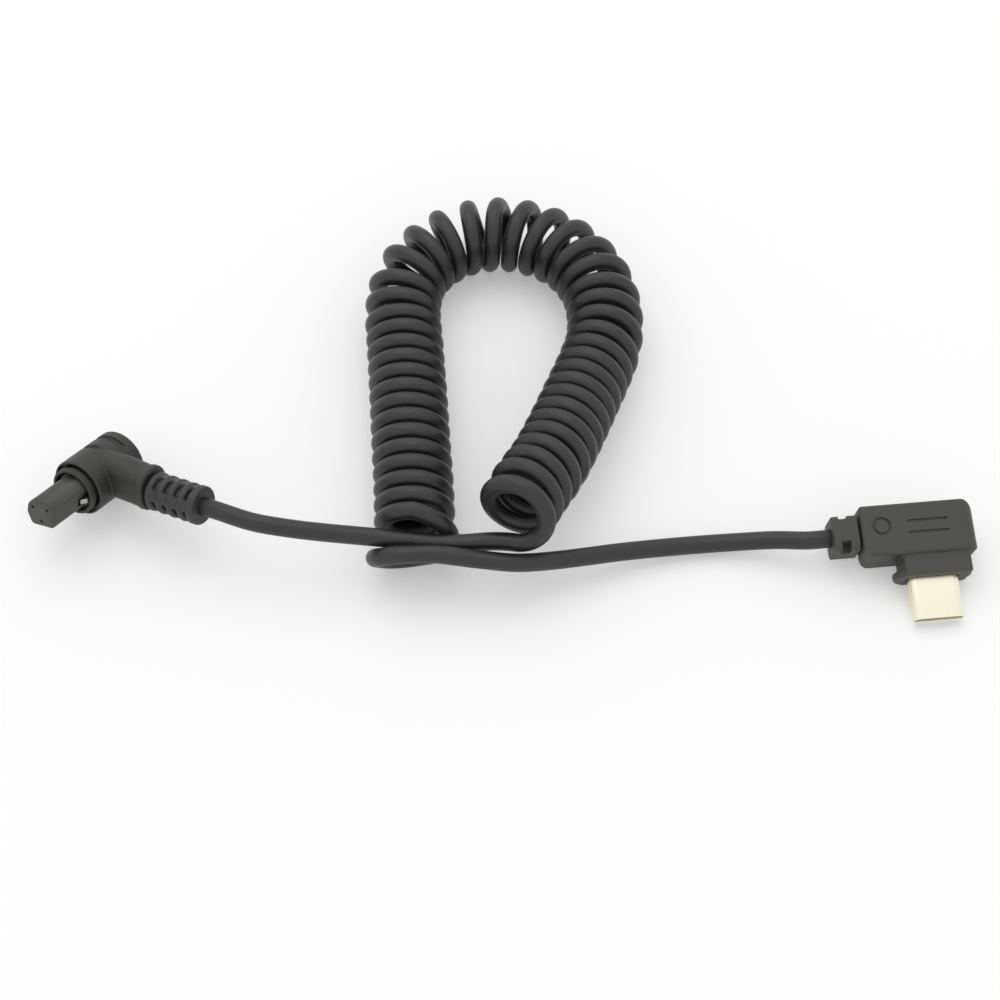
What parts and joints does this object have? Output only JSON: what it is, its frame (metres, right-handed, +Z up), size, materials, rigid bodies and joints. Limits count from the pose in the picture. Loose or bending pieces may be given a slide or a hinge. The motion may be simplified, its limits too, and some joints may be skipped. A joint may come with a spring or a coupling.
{
  "type": "cable shutter release",
  "caption": "Coiled release cord for a camera, from a right-angle keyed camera plug to a right-angle flat phone plug, lying as an arch.",
  "frame": {"origin": "centre of the two plugs' own box, on the surface that the object lies on", "axes": "+X from the camera plug to the phone plug, +Y towards the top of the arch, +Z up"},
  "size_m": [0.1529, 0.0839, 0.0203],
  "materials": {
    "camera_plug_vinyl": "fine satin",
    "nose_plastic": "satin",
    "inner_plastic": "satin",
    "phone_plug_vinyl": "fine satin",
    "nickel": "polished nickel",
    "spring_steel": "bright",
    "contact_gold": "gold plated",
    "board": "lacquered",
    "resistor": "matt",
    "wire_red": "satin",
    "wire_white": "satin",
    "wire_yellow": "satin",
    "cord_vinyl": "satin"
  },
  "bodies": {
    "plugs_and_cord": {"coiled_cord": "cord_vinyl", "lead_to_camera_plug": "cord_vinyl", "lead_to_phone_plug": "cord_vinyl", "phone_body": "phone_plug_vinyl", "phone_circuit_board": "board", "phone_contact_1": "contact_gold", "phone_contact_2": "contact_gold", "phone_contact_3": "contact_gold", "phone_contact_4": "contact_gold", "phone_contact_5": "contact_gold", "phone_contact_6": "contact_gold", "phone_contact_7": "contact_gold", "phone_contact_8": "contact_gold", "phone_contact_carrier": "inner_plastic", "phone_ferrule": "spring_steel", "phone_resistor": "resistor", "phone_shell": "nickel", "phone_strain_relief": "phone_plug_vinyl", "phone_wire_1": "wire_red", "phone_wire_2": "wire_white", "phone_wire_3": "wire_yellow", "remote_contact_1": "contact_gold", "remote_contact_2": "contact_gold", "remote_contact_3": "contact_gold", "remote_contact_retainer": "inner_plastic", "remote_ferrule": "spring_steel", "remote_front_collar": "camera_plug_vinyl", "remote_housing": "camera_plug_vinyl", "remote_nose": "nose_plastic", "remote_strain_relief": "camera_plug_vinyl", "remote_wire_1": "wire_red", "remote_wire_2": "wire_white", "remote_wire_3": "wire_yellow"},
    "remote_latch_cable_side": {"remote_latch_cable_side": "spring_steel"},
    "remote_latch_far_side": {"remote_latch_far_side": "spring_steel"},
    "phone_latch_far_side": {"phone_latch_far_side": "spring_steel"},
    "phone_latch_cable_side": {"phone_latch_cable_side": "spring_steel"}
  },
  "joints": [
    {"name": "remote_latch_cable_side_press", "type": "hinge", "parent": "plugs_and_cord", "child": "remote_latch_cable_side", "pos_m": [-0.06554, 0.00648, 0.00724], "axis": [-0.0336, 0.386, 0.9219], "range_deg": [-3.5, 0], "stiffness_Nm_per_rad": 0.03},
    {"name": "remote_latch_far_side_press", "type": "hinge", "parent": "plugs_and_cord", "child": "remote_latch_far_side", "pos_m": [-0.07018, 0.00898, 0.00602], "axis": [-0.0336, 0.386, 0.9219], "range_deg": [0, 3.5], "stiffness_Nm_per_rad": 0.03},
    {"name": "phone_latch_far_side_spread", "type": "hinge", "parent": "plugs_and_cord", "child": "phone_latch_far_side", "pos_m": [0.07206, -0.00659, 0.00374], "axis": [0.0264, -0.2744, 0.9613], "range_deg": [0, 1.6], "stiffness_Nm_per_rad": 0.02},
    {"name": "phone_latch_cable_side_spread", "type": "hinge", "parent": "plugs_and_cord", "child": "phone_latch_cable_side", "pos_m": [0.06544, -0.00723, 0.00374], "axis": [0.0264, -0.2744, 0.9613], "range_deg": [-1.6, 0], "stiffness_Nm_per_rad": 0.02}
  ]
}
